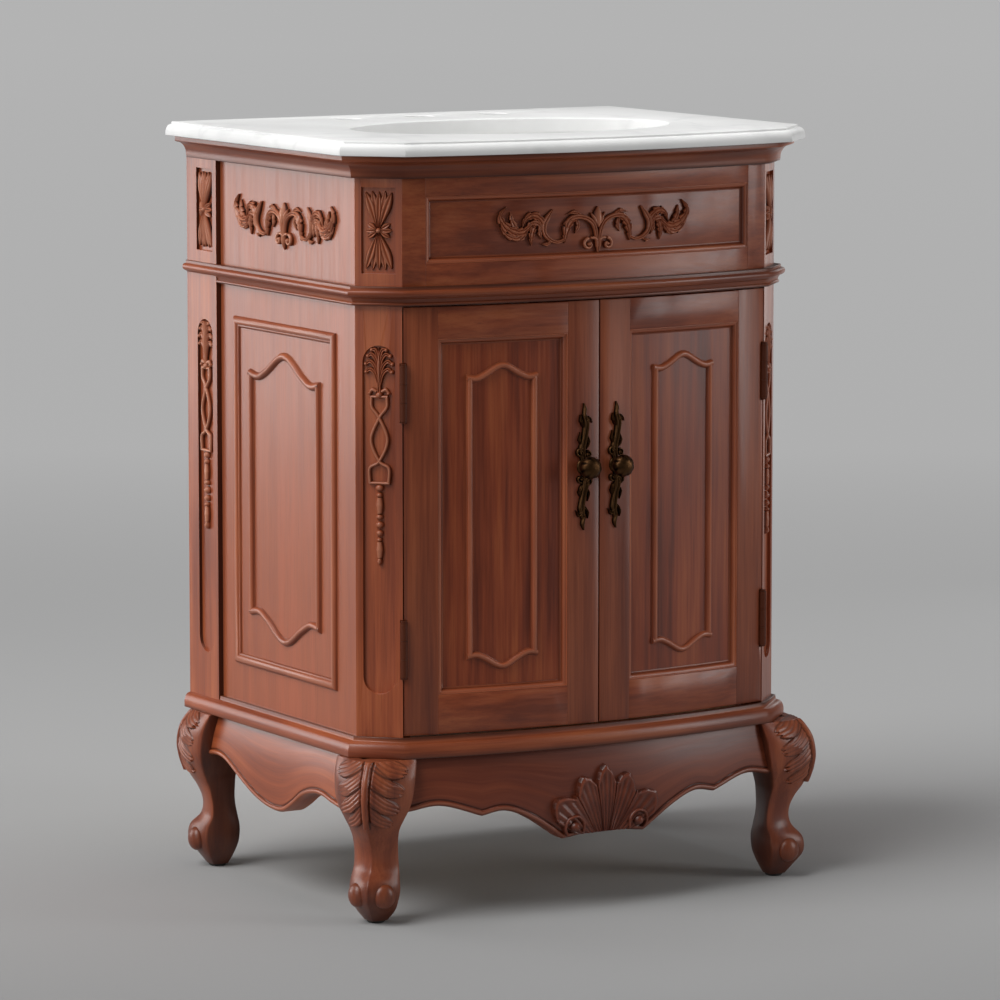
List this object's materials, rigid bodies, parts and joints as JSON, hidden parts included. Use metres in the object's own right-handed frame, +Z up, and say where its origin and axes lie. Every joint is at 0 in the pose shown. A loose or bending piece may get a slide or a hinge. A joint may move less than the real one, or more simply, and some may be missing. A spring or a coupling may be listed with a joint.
{
  "type": "vanity unit",
  "caption": "Carved hardwood bathroom vanity cabinet with bowed front, canted corners, cabriole legs, hinged doors, marble top and undermount oval basin.",
  "frame": {"origin": "on the floor under the middle of the countertop's box", "axes": "+Z up, front of the cabinet towards -Y, +X to the right seen from the front"},
  "size_m": [0.623, 0.508, 0.889],
  "materials": {
    "wood": "satin stained hardwood",
    "inner_wood": "matt stained board",
    "marble": "polished white marble",
    "ceramic": "white glaze",
    "bronze": "antique bronze",
    "steel": "zinc plated",
    "plastic": "brown moulded",
    "glide": "nail-on glide"
  },
  "bodies": {
    "carcass": {"countertop": "marble", "basin": "ceramic", "basin_clips": "steel", "cornice_front": "wood", "cornice_left": "wood", "cornice_right": "wood", "waist_moulding_front": "wood", "waist_moulding_left": "wood", "waist_moulding_right": "wood", "base_moulding_front": "wood", "base_moulding_left": "wood", "base_moulding_right": "wood", "side_panel_left": "wood", "side_panel_right": "wood", "side_moulding_left": "wood", "side_moulding_right": "wood", "rear_stile_left": "wood", "rear_stile_right": "wood", "front_post_left": "wood", "front_post_right": "wood", "apron_left": "wood", "apron_right": "wood", "carvings_left": "wood", "carvings_right": "wood", "frieze_frame": "wood", "frieze_panel": "wood", "frieze_moulding": "wood", "bottom_panel": "inner_wood", "back_panel": "inner_wood", "back_rails": "inner_wood", "corner_blocks": "inner_wood", "apron_front": "wood", "apron_back": "wood", "leg_front_left": "wood", "leg_front_right": "wood", "leg_rear_left": "wood", "leg_rear_right": "wood", "foot_glides": "glide", "swag_front": "wood", "side_swags": "wood", "apron_shell": "wood", "hinge_frame_leaves": "bronze", "hinge_pins": "bronze", "magnet_catch": "plastic"},
    "left_door": {"left_door_stiles": "wood", "left_door_rails": "wood", "left_door_panel": "wood", "left_door_mouldings": "wood", "left_door_hinge_leaves": "bronze", "left_door_backplate": "bronze", "left_door_knob": "bronze", "left_door_strike": "steel"},
    "right_door": {"right_door_stiles": "wood", "right_door_rails": "wood", "right_door_panel": "wood", "right_door_mouldings": "wood", "right_door_hinge_leaves": "bronze", "right_door_backplate": "bronze", "right_door_knob": "bronze", "right_door_strike": "steel"}
  },
  "joints": [
    {"name": "left_door_hinge", "type": "hinge", "parent": "carcass", "child": "left_door", "pos_m": [-0.2421, -0.19224, 0.4585], "axis": [0, 0, -1], "range_deg": [0, 105]},
    {"name": "right_door_hinge", "type": "hinge", "parent": "carcass", "child": "right_door", "pos_m": [0.2421, -0.19224, 0.4585], "axis": [0, 0, 1], "range_deg": [0, 105]}
  ]
}
